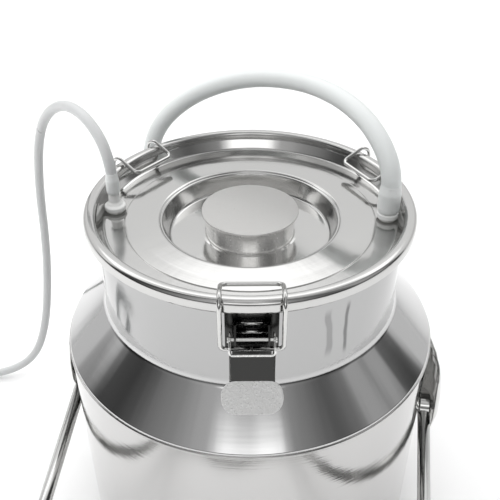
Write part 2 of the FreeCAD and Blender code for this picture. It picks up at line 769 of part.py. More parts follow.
doc.recompute()
for item in doc.Objects:
    troubles = [state for state in item.State if state in ("Invalid", "Error")]
    if troubles:
        raise RuntimeError(f"{item.Name}: {troubles}")
os.makedirs("parts", exist_ok=True)
for item in NODES:
    shape = item.Shape
    if shape.isNull() or not shape.isValid() or not shape.Solids:
        raise RuntimeError(f"{item.Label} has no valid solid")
    print(item.Label, "solids", len(shape.Solids), "volume", round(shape.Volume, 1))
    shape.exportStep(f"parts/{item.Label}.step")
print(len(NODES), "sub-parts")
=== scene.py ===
import math

import bmesh
import bpy
from mathutils import Matrix, Vector


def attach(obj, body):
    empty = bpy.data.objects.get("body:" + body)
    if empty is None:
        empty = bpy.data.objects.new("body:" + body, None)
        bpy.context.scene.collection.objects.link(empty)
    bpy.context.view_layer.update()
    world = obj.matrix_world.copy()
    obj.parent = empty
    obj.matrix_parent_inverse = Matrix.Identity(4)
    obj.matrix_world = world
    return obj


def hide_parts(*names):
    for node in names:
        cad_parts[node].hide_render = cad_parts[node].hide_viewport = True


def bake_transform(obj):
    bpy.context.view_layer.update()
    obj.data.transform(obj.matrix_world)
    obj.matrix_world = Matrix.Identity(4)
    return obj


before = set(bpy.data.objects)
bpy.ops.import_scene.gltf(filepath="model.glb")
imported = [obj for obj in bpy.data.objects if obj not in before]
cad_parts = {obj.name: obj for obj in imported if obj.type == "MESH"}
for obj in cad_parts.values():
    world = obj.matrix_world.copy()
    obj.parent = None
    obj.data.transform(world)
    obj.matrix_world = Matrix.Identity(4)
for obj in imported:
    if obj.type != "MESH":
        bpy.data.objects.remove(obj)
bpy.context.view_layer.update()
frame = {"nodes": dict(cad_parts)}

MM = 0.001
TAU = 2.0 * math.pi
scene = bpy.context.scene

# ---------------------------------------------------------------- camera and light

CAMERA_PLACE = (0.0, -0.423, 0.533)
CAMERA_DIP = 34.76
FOCAL_LENGTH = 50.6


def aim(item, place, target):
    item.location = place
    item.rotation_euler = (Vector(target) - Vector(place)).to_track_quat("-Z", "Y").to_euler()
    return item


lens = bpy.data.cameras.new("camera")
lens.sensor_width = 36.0
lens.lens = FOCAL_LENGTH
camera = bpy.data.objects.new("camera", lens)
camera.location = CAMERA_PLACE
camera.rotation_euler = (math.radians(90.0 - CAMERA_DIP), 0.0, 0.0)
scene.collection.objects.link(camera)
scene.camera = camera


def softbox(name, place, target, wide, high, power, tint=(1.0, 1.0, 1.0)):
    light = bpy.data.lights.new(name, "AREA")
    light.shape = "RECTANGLE"
    light.size, light.size_y = wide, high
    light.energy = power
    light.color = tint
    item = bpy.data.objects.new(name, light)
    aim(item, place, target)
    item.visible_camera = False
    item.visible_glossy = False
    scene.collection.objects.link(item)
    return item


softbox("overhead", (0.0, 0.2, 2.4), (0, 0.2, 0), 4.0, 4.0, 56.0)
softbox("left", (-1.7, -0.3, 1.2), (0, 0, 0.25), 0.8, 1.2, 12.0)


def value_of(tree, value, node, index):
    """Feeds a number or another node's output into one input."""
    if isinstance(value, (int, float)):
        node.inputs[index].default_value = value
    else:
        tree.links.new(value, node.inputs[index])


def math_node(tree, operation, first, second=None):
    node = tree.nodes.new("ShaderNodeMath")
    node.operation = operation
    value_of(tree, first, node, 0)
    if second is not None:
        value_of(tree, second, node, 1)
    return node.outputs[0]


def step_node(tree, value, start, end, low=0.0, high=1.0):
    """A smooth step from low to high as the value goes from start to end."""
    node = tree.nodes.new("ShaderNodeMapRange")
    node.interpolation_type = "SMOOTHSTEP"
    for key, number in (("From Min", start), ("From Max", end), ("To Min", low), ("To Max", high)):
        node.inputs[key].default_value = number
    tree.links.new(value, node.inputs["Value"])
    return node.outputs["Result"]


def levels(tree, value, stops, start, end):
    """Brightness read off a list of (position, level) stops between start and end."""
    ramp = tree.nodes.new("ShaderNodeValToRGB")
    elements = ramp.color_ramp.elements
    while len(elements) < len(stops):
        elements.new(0.5)
    for element, (position, level) in zip(elements, stops):
        element.position = (position - start) / (end - start)
        element.color = (level / 2.0, level / 2.0, level / 2.0, 1.0)
    share = math_node(tree, "DIVIDE", math_node(tree, "SUBTRACT", value, start), end - start)
    tree.links.new(share, ramp.inputs["Fac"])
    return math_node(tree, "MULTIPLY", ramp.outputs["Color"], 2.0)


def mixed(tree, share, first, second):
    """first where the share is 0, second where it is 1."""
    rest = math_node(tree, "SUBTRACT", 1.0, share)
    kept, brought = math_node(tree, "MULTIPLY", rest, first), math_node(tree, "MULTIPLY", share, second)
    return math_node(tree, "ADD", kept, brought)


def studio():
    """A white studio behind the object and a dark room with one bright window behind the camera."""
    world = bpy.data.worlds.new("studio")
    scene.world = world
    world.use_nodes = True
    tree = world.node_tree
    tree.nodes.clear()
    source = tree.nodes.new("ShaderNodeTexCoord")
    split = tree.nodes.new("ShaderNodeSeparateXYZ")
    tree.links.new(source.outputs["Generated"], split.inputs[0])
    x, y, z = split.outputs
    height = math_node(tree, "DEGREES", math_node(tree, "ARCSINE", z))
    around = math_node(tree, "DEGREES", math_node(tree, "ARCTAN2", x, math_node(tree, "MULTIPLY", y, -1.0)))
    away = math_node(tree, "ABSOLUTE", around)
    stripes = levels(
        tree, around,
        [
            (-120, 1.50), (-107, 1.20), (-100, 0.90), (-95, 0.30), (-91, 0.10), (-80, 0.07), (-70, 0.12),
            (-61, 0.25), (-44, 0.38), (-33, 0.55), (-15, 0.62), (0, 0.50), (9, 0.72), (22, 0.42), (40, 0.24),
            (52, 0.14), (62, 0.22), (68, 0.30), (71, 0.52), (80, 0.50), (83, 0.36), (87, 0.52), (94, 0.50),
            (96, 0.20), (103, 0.22), (109, 0.50), (113, 1.50),
        ],
        -120.0, 120.0,
    )
    fade = levels(
        tree, height,
        [(-10, 1.6), (-3, 1.2), (-1, 0.35), (11, 0.35), (19, 0.95), (60, 1.0), (75, 1.4), (90, 1.6)],
        -10.0, 90.0,
    )
    near = math_node(tree, "MULTIPLY", stripes, fade)
    opening = levels(tree, height, [(26, 0.0), (29, 1.3), (38, 1.3), (42, 0.0)], 20.0, 50.0)
    opening = math_node(tree, "MULTIPLY", opening, step_node(tree, away, 26.0, 14.0))
    near = math_node(tree, "ADD", near, opening)
    back = levels(
        tree, height,
        [
            (-10, 0.95), (0, 0.76), (16, 0.78), (22, 0.95), (36, 0.98), (38, 1.25), (40, 1.95), (50, 1.9),
            (58, 0.9), (90, 0.6),
        ],
        -10.0, 90.0,
    )
    total = mixed(tree, step_node(tree, away, 107.0, 114.0), near, back)
    background = tree.nodes.new("ShaderNodeBackground")
    output = tree.nodes.new("ShaderNodeOutputWorld")
    tree.links.new(total, background.inputs["Color"])
    tree.links.new(background.outputs[0], output.inputs["Surface"])


studio()


# ---------------------------------------------------------------- materials


def material(name, **values):
    made = bpy.data.materials.new(name)
    made.use_nodes = True
    shader = made.node_tree.nodes["Principled BSDF"]
    for key, value in values.items():
        shader.inputs[key.replace("_", " ")].default_value = value
    return made, made.node_tree, shader


def round_coordinates(tree, around, along):
    """Two sets of coordinates: one that follows a turned part without a seam, and the plain one."""
    source = tree.nodes.new("ShaderNodeTexCoord")
    split = tree.nodes.new("ShaderNodeSeparateXYZ")
    tree.links.new(source.outputs["Object"], split.inputs[0])
    x, y, z = split.outputs
    squares = math_node(tree, "ADD", math_node(tree, "MULTIPLY", x, x), math_node(tree, "MULTIPLY", y, y))
    radius = math_node(tree, "ADD", math_node(tree, "SQRT", squares), 1e-5)
    profile = math_node(tree, "ADD", radius, math_node(tree, "MULTIPLY", z, 0.83))
    join = tree.nodes.new("ShaderNodeCombineXYZ")
    tree.links.new(math_node(tree, "MULTIPLY", math_node(tree, "DIVIDE", x, radius), around), join.inputs[0])
    tree.links.new(math_node(tree, "MULTIPLY", math_node(tree, "DIVIDE", y, radius), around), join.inputs[1])
    tree.links.new(math_node(tree, "MULTIPLY", profile, along), join.inputs[2])
    return join.outputs[0], source.outputs["Object"]


def noise(tree, vector, scale, detail=3.0):
    node = tree.nodes.new("ShaderNodeTexNoise")
    node.inputs["Scale"].default_value = scale
    node.inputs["Detail"].default_value = detail
    tree.links.new(vector, node.inputs["Vector"])
    return node.outputs["Fac"]


def spread(tree, value, low, high, start=0.0, end=1.0):
    node = tree.nodes.new("ShaderNodeMapRange")
    for key, number in (("From Min", start), ("From Max", end), ("To Min", low), ("To Max", high)):
        node.inputs[key].default_value = number
    tree.links.new(value, node.inputs["Value"])
    return node.outputs["Result"]


def bumped(tree, shader, height, strength, distance, below=None):
    node = tree.nodes.new("ShaderNodeBump")
    node.inputs["Strength"].default_value = strength
    node.inputs["Distance"].default_value = distance
    tree.links.new(height, node.inputs["Height"])
    if below is not None:
        tree.links.new(below, node.inputs["Normal"])
    tree.links.new(node.outputs["Normal"], shader.inputs["Normal"])
    return node.outputs["Normal"]


def polished(name, shade, rough, wave, lines):
    """Polished stainless sheet: faint spin lines, a soft waviness round the part, and wiped patches."""
    made, tree, shader = material(name, Metallic=1.0, Base_Color=(*shade, 1.0), Roughness=rough)
    turned, plain = round_coordinates(tree, 2.2, 9.0)
    fine, _ = round_coordinates(tree, 0.8, 900.0)
    patches = spread(tree, noise(tree, plain, 22.0, 4.0), rough * 0.4, rough * 1.9)
    tree.links.new(patches, shader.inputs["Roughness"])
    ripple = bumped(tree, shader, noise(tree, turned, 3.0, 2.0), wave, 0.004)
    bumped(tree, shader, noise(tree, fine, 1.0, 2.0), lines, 0.0002, ripple)
    return made


# Each dark streak's angle round the neck and half width in degrees, top and bottom in metres, and darkness.
DARK_NECK_STREAKS = ((27.0, 1.3, 0.264, 0.221, 0.30), (34.5, 0.7, 0.265, 0.218, 0.55))
# Heights where the neck's painted shade begins and where it is full.
NECK_STARTS, NECK_IS_FULL = 0.2085, 0.2150


def neck_painted_shade_and_streaks(made, slope_shade, painted_neck_tone):
    """A neck painted darker than the slope below it, as painted shade for its darker reflections, with two darker
    vertical streaks.
    """
    tree = made.node_tree
    shader = tree.nodes["Principled BSDF"]
    source = tree.nodes.new("ShaderNodeTexCoord")
    split = tree.nodes.new("ShaderNodeSeparateXYZ")
    tree.links.new(source.outputs["Object"], split.inputs[0])
    x, y, z = split.outputs
    around = math_node(tree, "DEGREES", math_node(tree, "ARCTAN2", x, math_node(tree, "MULTIPLY", y, -1.0)))
    wander = spread(tree, noise(tree, source.outputs["Object"], 45.0, 1.0), -2.2, 2.2)
    place = math_node(tree, "ADD", around, wander)
    # Painted shade: the base colour steps down from the slope's tone to a darker one up the neck.
    tone = step_node(tree, z, NECK_STARTS, NECK_IS_FULL, slope_shade, painted_neck_tone)
    for angle, width, top, bottom, depth in DARK_NECK_STREAKS:
        off = math_node(tree, "ABSOLUTE", math_node(tree, "SUBTRACT", place, angle))
        mark = step_node(tree, off, width + 0.45, width - 0.45)
        mark = math_node(tree, "MULTIPLY", mark, step_node(tree, z, top, top - 0.008))
        mark = math_node(tree, "MULTIPLY", mark, step_node(tree, z, bottom, bottom + 0.010))
        left = math_node(tree, "SUBTRACT", 1.0, math_node(tree, "MULTIPLY", mark, depth))
        tone = math_node(tree, "MULTIPLY", left, tone)
    tree.links.new(tone, shader.inputs["Base Color"])
    return made


steel_can = polished("polished_can", (0.58, 0.575, 0.57), 0.08, 0.05, 0.16)
# Same steel as the can; the darker neck tone is painted shade for the neck's darker reflections.
steel_neck_painted_shade = neck_painted_shade_and_streaks(polished("polished_neck_painted_shade", (0.58, 0.575, 0.57), 0.08, 0.05, 0.16), 0.58, 0.43)
# The can's lip is darker and rougher than the can: painted shade for the band under the lid's skirt.
steel_rim_painted_shade = polished("polished_rim_painted_shade", (0.49, 0.485, 0.48), 0.16, 0.03, 0.04)
steel_lid = polished("polished_lid", (0.58, 0.578, 0.57), 0.10, 0.02, 0.05)
steel_rod = polished("polished_rod", (0.62, 0.62, 0.61), 0.12, 0.0, 0.02)
steel_latch = polished("latch_sheet", (0.56, 0.56, 0.55), 0.13, 0.0, 0.03)


def satin(name, shade, rough, grain, strength, metal=1.0):
    made, tree, shader = material(name, Metallic=metal, Base_Color=(*shade, 1.0), Roughness=rough)
    _, plain = round_coordinates(tree, 1.0, 1.0)
    speck = noise(tree, plain, grain, 5.0)
    tree.links.new(spread(tree, speck, rough * 0.5, rough * 1.6), shader.inputs["Roughness"])
    bumped(tree, shader, speck, strength, 0.0003)
    return made


# Light, partly diffuse steel for the thin bar along the lever's edge: a painted highlight.
steel_painted_highlight = satin("painted_highlight_edge", (0.86, 0.86, 0.85), 0.25, 500.0, 0.0, 0.6)
# Near-black steel for the lever web and the latch base: painted shade where the stainless latch looks dark.
latch_painted_shade = polished("latch_painted_shade", (0.045, 0.045, 0.044), 0.16, 0.0, 0.03)
knob_top = satin("knob_satin", (0.54, 0.535, 0.525), 0.34, 900.0, 0.12)
# Light, partly diffuse steel for the knob's side: painted sheen for the bright reflection on it.
knob_side = satin("knob_side", (0.90, 0.895, 0.88), 0.22, 600.0, 0.02, 0.75)
# Light, partly diffuse steel for the lever's tab: painted sheen where bare steel would reflect the dark horizon.
tab_painted_sheen = satin("tab_speckled_painted_sheen", (0.66, 0.66, 0.655), 0.30, 700.0, 0.9, 0.4)


def milky(name, shade, rough, clear, soft):
    made, tree, shader = material(
        name, Base_Color=(*shade, 1.0), Roughness=rough, IOR=1.42,
        Transmission_Weight=clear, Subsurface_Weight=soft, Subsurface_Scale=0.003, Subsurface_Radius=(1, 1, 1),
    )
    _, plain = round_coordinates(tree, 1.0, 1.0)
    patches = spread(tree, noise(tree, plain, 60.0, 3.0), rough * 0.8, rough * 1.2)
    tree.links.new(patches, shader.inputs["Roughness"])
    return made


silicone = milky("milky_silicone", (0.76, 0.785, 0.78), 0.30, 0.12, 0.0)
silicone_thin = milky("milky_silicone_thin", (0.62, 0.63, 0.632), 0.30, 0.12, 0.0)
silicone_end = milky("silicone_end", (0.82, 0.84, 0.835), 0.28, 0.10, 0.0)
plastic = milky("white_plastic", (0.82, 0.825, 0.815), 0.24, 0.08, 0.0)
gasket_white = milky("gasket_white", (0.78, 0.78, 0.76), 0.45, 0.0, 0.0)
strap_white = milky("strap_white", (0.80, 0.80, 0.80), 0.40, 0.0, 0.0)


# ---------------------------------------------------------------- making pieces


def finish_piece(item, body, nodes=(), matter=None):
    """Gives a piece its material and its body, and hides the CAD nodes it stands for."""
    if matter is not None:
        item.data.materials.clear()
        item.data.materials.append(matter)
    if body:
        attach(item, body)
    if nodes:
        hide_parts(*nodes)
    return item


def rounded(corners, steps=6):
    """Points of a closed outline of (x, y, radius) corners, each rounded by its own radius."""
    points = []
    count = len(corners)
    for i, (x, y, radius) in enumerate(corners):
        here = Vector((x, y))
        back = Vector(corners[i - 1][:2]) - here
        on = Vector(corners[(i + 1) % count][:2]) - here
        if radius <= 0 or back.length < 1e-9 or on.length < 1e-9:
            points.append(here)
            continue
        half = (math.pi - back.angle(on)) / 2.0
        reach = min(radius * math.tan(half), 0.499 * back.length, 0.499 * on.length)
        if reach < 1e-6:
            points.append(here)
            continue
        radius = reach / math.tan(half)
        first, last = here + back.normalized() * reach, here + on.normalized() * reach
        centre = here + (back.normalized() + on.normalized()).normalized() * (radius / math.cos(half))
        start = first - centre
        sweep = start.angle_signed(last - centre, 0.0)
        for k in range(steps + 1):
            angle = -sweep * k / steps
            turn = Matrix.Rotation(angle, 2)
            points.append(centre + turn @ start)
    return points


def new_piece(name, bm):
    """A smooth-shaded object from a bmesh, with its seams closed."""
    bmesh.ops.remove_doubles(bm, verts=bm.verts, dist=1e-7)
    bmesh.ops.recalc_face_normals(bm, faces=bm.faces)
    mesh = bpy.data.meshes.new(name)
    bm.to_mesh(mesh)
    bm.free()
    for face in mesh.polygons:
        face.use_smooth = True
    item = bpy.data.objects.new(name, mesh)
    scene.collection.objects.link(item)
    return item


def weighted(item):
    item.modifiers.new("even_normals", "WEIGHTED_NORMAL").keep_sharp = True
    return item


def lathe(name, corners, segments=256, place=None, steps=6):
    """Turns a closed outline of (radius, height, corner radius) in millimetres about Z."""
    bm = bmesh.new()
    rings = []
    for point in rounded(corners, steps):
        radius, height = point.x * MM, point.y * MM
        if radius < 1e-7:
            rings.append([bm.verts.new((0, 0, height))])
        else:
            angles = [TAU * k / segments for k in range(segments)]
            rings.append([bm.verts.new((radius * math.cos(a), radius * math.sin(a), height)) for a in angles])
    for first, second in zip(rings, rings[1:] + rings[:1]):
        if len(first) == 1 and len(second) == 1:
            continue
        for k in range(segments):
            n = (k + 1) % segments
            near = [first[k % len(first)], first[n % len(first)]]
            loop = list(dict.fromkeys(near + [second[n % len(second)], second[k % len(second)]]))
            if len(loop) > 2:
                bm.faces.new(loop)
    item = new_piece(name, bm)
    if place is not None:
        item.data.transform(place)
    return weighted(item)


def slab(name, corners, thickness, place, bevel=0.25, steps=5):
    """A flat plate: an outline of (x, y, corner radius) in millimetres, thick along its own Z both ways."""
    bm = bmesh.new()
    half = thickness * MM / 2.0
    outline = rounded(corners, steps)
    low = [bm.verts.new((p.x * MM, p.y * MM, -half)) for p in outline]
    high = [bm.verts.new((p.x * MM, p.y * MM, half)) for p in outline]
    bm.faces.new(list(reversed(low)))
    bm.faces.new(high)
    for k in range(len(outline)):
        n = (k + 1) % len(outline)
        bm.faces.new([low[k], low[n], high[n], high[k]])
    item = new_piece(name, bm)
    item.data.transform(place)
    edge = item.modifiers.new("edge", "BEVEL")
    edge.width = bevel * MM
    edge.segments = 3
    edge.limit_method = "ANGLE"
    edge.angle_limit = math.radians(50)
    return weighted(item)


def bent(points, radii, steps=10):
    """A line of straight runs through points in millimetres, its inner corners rounded."""
    points = [Vector(p) for p in points]
    line = [points[0]]
    for before, here, after, radius in zip(points, points[1:], points[2:], radii):
        back, on = (before - here).normalized(), (after - here).normalized()
        half = (math.pi - back.angle(on)) / 2.0
        centre = here + (back + on).normalized() * (radius / math.cos(half))
        first = here + back * radius * math.tan(half)
        axis = back.cross(on).normalized()
        for k in range(steps + 1):
            turn = Matrix.Rotation(-2.0 * half * k / steps, 3, axis)
            line.append(centre + turn @ (first - centre))
    line.append(points[-1])
    return line


def bar(name, line, radius, place=None):
    """A round bar along a line in millimetres, with its ends closed flat."""
    curve = bpy.data.curves.new(name, "CURVE")
    curve.dimensions = "3D"
    spline = curve.splines.new("POLY")
    spline.points.add(len(line) - 1)
    for target, point in zip(spline.points, line):
        target.co = (*(point * MM), 1.0)
    curve.bevel_depth = radius * MM
    curve.bevel_resolution = 6
    curve.use_fill_caps = True
    return meshed(name, curve, place)


def meshed(name, curve, place=None):
    """A mesh piece made from a curve, which is then removed."""
    maker = bpy.data.objects.new(name + "_maker", curve)
    scene.collection.objects.link(maker)
    bpy.context.view_layer.update()
    mesh = bpy.data.meshes.new_from_object(maker.evaluated_get(bpy.context.evaluated_depsgraph_get()))
    bpy.data.objects.remove(maker)
    bpy.data.curves.remove(curve)
    mesh.name = name
    tidy = bmesh.new()
    tidy.from_mesh(mesh)
    bmesh.ops.remove_doubles(tidy, verts=tidy.verts, dist=1e-4)
    tidy.to_mesh(mesh)
    tidy.free()
    if place is not None:
        mesh.transform(place)
    for face in mesh.polygons:
        face.use_smooth = True
    item = bpy.data.objects.new(name, mesh)
    scene.collection.objects.link(item)
    return item


def nurbs(name, points, radius):
    """A smooth curve with these control points, in metres."""
    curve = bpy.data.curves.new(name, "CURVE")
    curve.dimensions = "3D"
    spline = curve.splines.new("NURBS")
    spline.points.add(len(points) - 1)
    for target, point in zip(spline.points, points):
        target.co = (*point, 1.0)
    spline.order_u = 3
    spline.use_endpoint_u = True
    spline.resolution_u = 8
    curve.bevel_depth = radius
    curve.bevel_resolution = 7
    curve.use_fill_caps = True
    return curve


# ---------------------------------------------------------------- floor

ground = bmesh.new()
bmesh.ops.create_grid(ground, x_segments=1, y_segments=1, size=6.0)
floor = new_piece("floor", ground)
floor.location.z = -0.0004
floor_white, _, _ = material("floor_white", Base_Color=(0.93, 0.93, 0.93, 1.0), Roughness=0.85)
floor.data.materials.append(floor_white)

# ---------------------------------------------------------------- hoses

MILK_DIAMETER, VACUUM_DIAMETER = 0.0138, 0.0078
MILK_BORE_END = (0.0964, -0.0038, 0.2937)
VACUUM_BORE_END = (-0.0960, 0.0066, 0.2971)
MILK_LINE = [
    MILK_BORE_END, (0.0964, -0.0038, 0.3040), (0.0900, 0.0060, 0.3210), (0.0790, 0.0240, 0.3330),
    (0.0620, 0.0500, 0.3390), (0.0350, 0.0820, 0.3380), (-0.0040, 0.1100, 0.3290), (-0.0460, 0.1220, 0.3110),
    (-0.0770, 0.1150, 0.2870), (-0.0870, 0.1160, 0.2500), (-0.0930, 0.1280, 0.2030), (-0.0960, 0.1400, 0.1400),
    (-0.0930, 0.1530, 0.0780), (-0.0860, 0.1730, 0.0340), (-0.0790, 0.2000, 0.0110), (-0.0760, 0.2300, 0.0078),
]
MILK_END = [
    (0.0770, 0.2360, 0.0212), (0.0850, 0.2110, 0.0130), (0.0990, 0.1880, 0.0082), (0.1160, 0.1690, 0.0082),
]
VACUUM_LINE = [
    VACUUM_BORE_END, (-0.0960, 0.0066, 0.3060), (-0.1020, 0.0145, 0.3230), (-0.1170, 0.0330, 0.3330),
    (-0.1380, 0.0600, 0.3285), (-0.1610, 0.0880, 0.3060), (-0.1775, 0.1105, 0.2700), (-0.1900, 0.1290, 0.2160),
    (-0.1960, 0.1370, 0.1580), (-0.2010, 0.1325, 0.1080), (-0.2080, 0.1215, 0.0620), (-0.2225, 0.1155, 0.0260),
    (-0.2490, 0.1115, 0.0080), (-0.2840, 0.1075, 0.0048), (-0.3120, 0.1054, 0.0048),
]
VACUUM_END = [
    (-0.3865, 0.0400, 0.0124), (-0.3840, 0.0220, 0.0085), (-0.3810, 0.0040, 0.0061), (-0.3795, -0.0140, 0.0061),
]


def eased(value, start, end):
    """A smooth step from 0 to 1 as the value goes from start to end."""
    share = min(max((value - start) / (end - start), 0.0), 1.0)
    return share * share * (3.0 - 2.0 * share)


def milk_turn(angle):
    """One and a half turns, the second lying on the first: radius and height at an angle wound so far."""
    return 0.0760, 0.0078 + 0.0138 * eased(angle, 250, 325)


def vacuum_turn(angle):
    """Three and a quarter turns: outer and inner on the floor, then inner and outer on top."""
    radius = 0.0469 - 0.0078 * eased(angle, 265, 325) + 0.0078 * eased(angle, 930, 990)
    return radius, 0.0048 + 0.0078 * eased(angle, 630, 690)


def winding(centre, first, sign, degrees, shape, step=22.5):
    """Control points of a coil, pushed out a little so that the smooth curve has the coil's radius."""
    swell = 1.0 / math.cos(math.radians(step / 2.0))
    points = []
    for k in range(1, int(round(degrees / step))):
        wound = k * step
        radius, height = shape(wound)
        angle = math.radians(first + sign * wound)
        points.append(
            (centre[0] + radius * swell * math.cos(angle), centre[1] + radius * swell * math.sin(angle), height)
        )
    return points


milk_points = (
    MILK_LINE
    + [(-0.0760, 0.2520, 0.0078), (-0.0760, 0.2680, 0.0078)]
    + winding((0.0, 0.262), 180.0, -1.0, 540.0, milk_turn)
    + [(0.0760, 0.2560, 0.0216)]
    + MILK_END
)
vacuum_points = (
    VACUUM_LINE
    + [(-0.3350, 0.1049, 0.0048), (-0.3450, 0.1049, 0.0048)]
    + winding((-0.340, 0.058), 90.0, 1.0, 1170.0, vacuum_turn)
    + [(-0.3869, 0.0560, 0.0126)]
    + VACUUM_END
)


def hose(name, points, diameter, nodes, matter):
    """A hose as one smooth tube between the lid and the ground."""
    bare = meshed(name + "_middle", nurbs(name + "_middle", points, 0.0))
    bpy.data.objects.remove(bare)
    item = meshed(name, nurbs(name, points, diameter / 2.0))
    item.data.materials.append(matter)
    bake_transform(item)
    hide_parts(*nodes)
    return item


nodes = frame["nodes"]
hose(
    "milk_tube", milk_points, MILK_DIAMETER, ("milk_hose", "milk_hose_coil", "milk_hose_tail"),
    silicone,
)
hose(
    "vacuum_tube", vacuum_points, VACUUM_DIAMETER, ("vacuum_hose", "vacuum_hose_coil", "vacuum_hose_tail"),
    silicone_thin,
)

# ---------------------------------------------------------------- can

finish_piece(
    lathe(
        "can_wall",
        [
            (0.0, 0.0, 0), (137.5, 0.0, 14.0), (137.5, 175.4, 1.5), (138.4, 176.2, 0.6), (138.4, 177.5, 0.6),
            (137.6, 178.0, 0.2), (136.7, 178.0, 0.1), (136.7, 0.8, 13.2), (0.0, 0.8, 0),
        ],
        segments=384,
    ),
    "can", ("can_body", "can_base"), steel_can,
)
finish_piece(
    lathe(
        "can_neck",
        [
            (137.5, 178.0, 0.1), (137.5, 179.6, 3.6), (107.2, 209.9, 8.0), (107.2, 271.1, 0), (106.4, 271.1, 0),
            (106.4, 209.6, 8.8), (136.7, 179.3, 2.8), (136.7, 178.0, 0.1),
        ],
        segments=384, steps=10,
    ),
    "can", ("can_shoulder",), steel_neck_painted_shade,
)
finish_piece(
    lathe("can_lip", [(106.4, 271.1, 0.3), (106.4, 277.3, 3.0), (112.6, 277.3, 3.0), (112.6, 271.1, 2.9)]),
    "can", ("can_rim",), steel_rim_painted_shade,
)

# ---------------------------------------------------------------- lid

finish_piece(
    lathe(
        "lid_pan",
        [
            (0.0, 256.2, 0), (56.8, 256.2, 4.2), (61.9, 269.6, 1.6), (80.5, 269.6, 3), (87.9, 268.9, 3),
            (102.6, 268.9, 3.2), (107.4, 277.2, 2.0), (107.4, 282.2, 3.4), (114.2, 282.2, 3.4),
            (114.2, 275.4, 0.4), (113.9, 274.9, 0.2), (114.8, 274.9, 0.3), (115.0, 275.6, 0.4),
            (115.0, 283.0, 4.2), (106.6, 283.0, 4.2), (106.6, 277.6, 3.0), (102.2, 269.7, 3.0),
            (88.6, 269.65, 0.1), (88.3, 269.25, 0.1), (87.9, 269.25, 0.1), (87.6, 270.0, 0.3),
            (79.5, 270.2, 9.0), (63.6, 270.75, 2.6), (57.5, 257.0, 3.4), (34.0, 257.0, 2.0),
            (32.4, 257.3, 0.8), (31.4, 257.0, 0.2), (0.0, 257.0, 0),
        ],
        segments=384, steps=8,
    ),
    "lid", ("lid_cover",), steel_lid,
)
KNOB_FACE_HEIGHT = 0.27445
knob = lathe(
    "knob",
    [
        (30.6, 257.0, 0.1), (31.4, 257.0, 0.2), (31.7, 271.4, 1.2), (33.6, 272.8, 0.8), (34.2, 273.6, 0.5),
        (34.2, 274.9, 0.6), (0.0, 275.0, 0), (0.0, 274.1, 0), (33.0, 274.0, 0.6), (30.8, 271.8, 0.8),
    ],
)
finish_piece(knob, "lid", ("lid_knob",), knob_side)
knob.data.materials.append(knob_top)
for face in knob.data.polygons:
    if face.center.z > KNOB_FACE_HEIGHT and face.center.length > 0 and face.normal.z > 0.5:
        face.material_index = 1
finish_piece(
    lathe("lid_seal", [(108.2, 277.6, 0.4), (113.4, 277.6, 0.4), (114.0, 282.0, 3.1), (107.6, 282.0, 3.1)]),
    "lid", ("lid_gasket",), gasket_white,
)


DECK_HEIGHT = 0.2697


def fitting(name, spot, profile, cuff, fitting_node, cuff_node):
    """A barbed plastic fitting standing on the lid, with the hose's sleeve on it."""
    place = Matrix.Translation((spot[0], spot[1], DECK_HEIGHT))
    finish_piece(
        lathe(name + "_barb", profile, segments=96, place=place), "lid", (fitting_node,), plastic
    )
    finish_piece(
        lathe(name + "_sleeve", cuff, segments=96, place=place), "lid", (cuff_node,), silicone_end
    )


fitting(
    "milk",
    MILK_BORE_END[:2],
    [
        (3.2, -14.0, 0.2), (4.9, -14.0, 0.4), (4.9, 0.8, 0.1), (6.6, 0.8, 0.3), (7.6, 1.8, 0.5), (7.6, 5.0, 0.9),
        (6.4, 5.6, 0.6), (4.6, 6.0, 0.4), (4.6, 23.9, 0.3), (3.2, 23.9, 0.2),
    ],
    [
        (5.0, 6.3, 0.3), (7.5, 6.3, 0.9), (7.9, 9.5, 4.0), (7.8, 20.5, 5.0), (6.95, 25.5, 3.0), (6.92, 27.0, 0.3),
        (6.0, 27.2, 0.3), (5.0, 24.0, 0.3),
    ],
    "milk_fitting",
    "milk_hose_cuff",
)
fitting(
    "vacuum",
    VACUUM_BORE_END[:2],
    [
        (1.6, -14.0, 0.2), (4.9, -14.0, 0.4), (4.9, 0.8, 0.1), (6.6, 0.8, 0.3), (7.6, 1.8, 0.5), (7.6, 4.6, 1.2),
        (5.6, 5.8, 1.0), (4.2, 8.0, 1.5), (3.9, 14.0, 0.6), (3.3, 14.8, 0.3), (3.2, 27.3, 0.3), (1.6, 27.3, 0.2),
    ],
    [
        (3.4, 14.4, 0.2), (4.4, 14.4, 0.5), (4.75, 16.5, 2.0), (4.7, 24.5, 4.0), (3.98, 29.0, 2.0),
        (3.94, 30.2, 0.2), (3.4, 30.4, 0.2), (3.4, 27.4, 0.2),
    ],
    "vacuum_fitting",
    "vacuum_hose_cuff",
)

# ---------------------------------------------------------------- ears and carry bail

EAR_TURN = math.radians(8.65)
EAR_LEVELS = [
    (74.0, 149.6, 23.0), (88.0, 153.4, 25.4), (100.5, 155.6, 26.4), (118.0, 155.0, 26.4), (136.0, 152.6, 25.4),
    (152.0, 148.4, 23.0), (166.0, 142.4, 18.0), (172.0, 138.6, 13.0),
]
SLOT_REACH, SLOT_PAST = 150.3, 6.4
EAR_BOTTOM, EAR_TOP, EAR_SHEET = 74.0, 172.0, 0.8
EAR_FOOT, CAN_REACH = 131.0, 137.6
EAR_ROWS, EAR_STEPS = 98, 32
PIVOT_HEIGHT = 0.1005
BAIL_LEAN = math.radians(70.87)
BAIL_HALF_WIDTH, BAIL_LENGTH, BAIL_START, BAIL_CORNER, BAIL_RADIUS = 144, 290, 7.5, 80.0, 5.0


def ear_section(height):
    """Reach and half width of an ear at a height."""
    for (low, reach, half), (high, next_reach, next_half) in zip(EAR_LEVELS, EAR_LEVELS[1:]):
        if height <= high:
            share = (height - low) / (high - low)
            return reach + (next_reach - reach) * share, half + (next_half - half) * share
    return EAR_LEVELS[-1][1:]


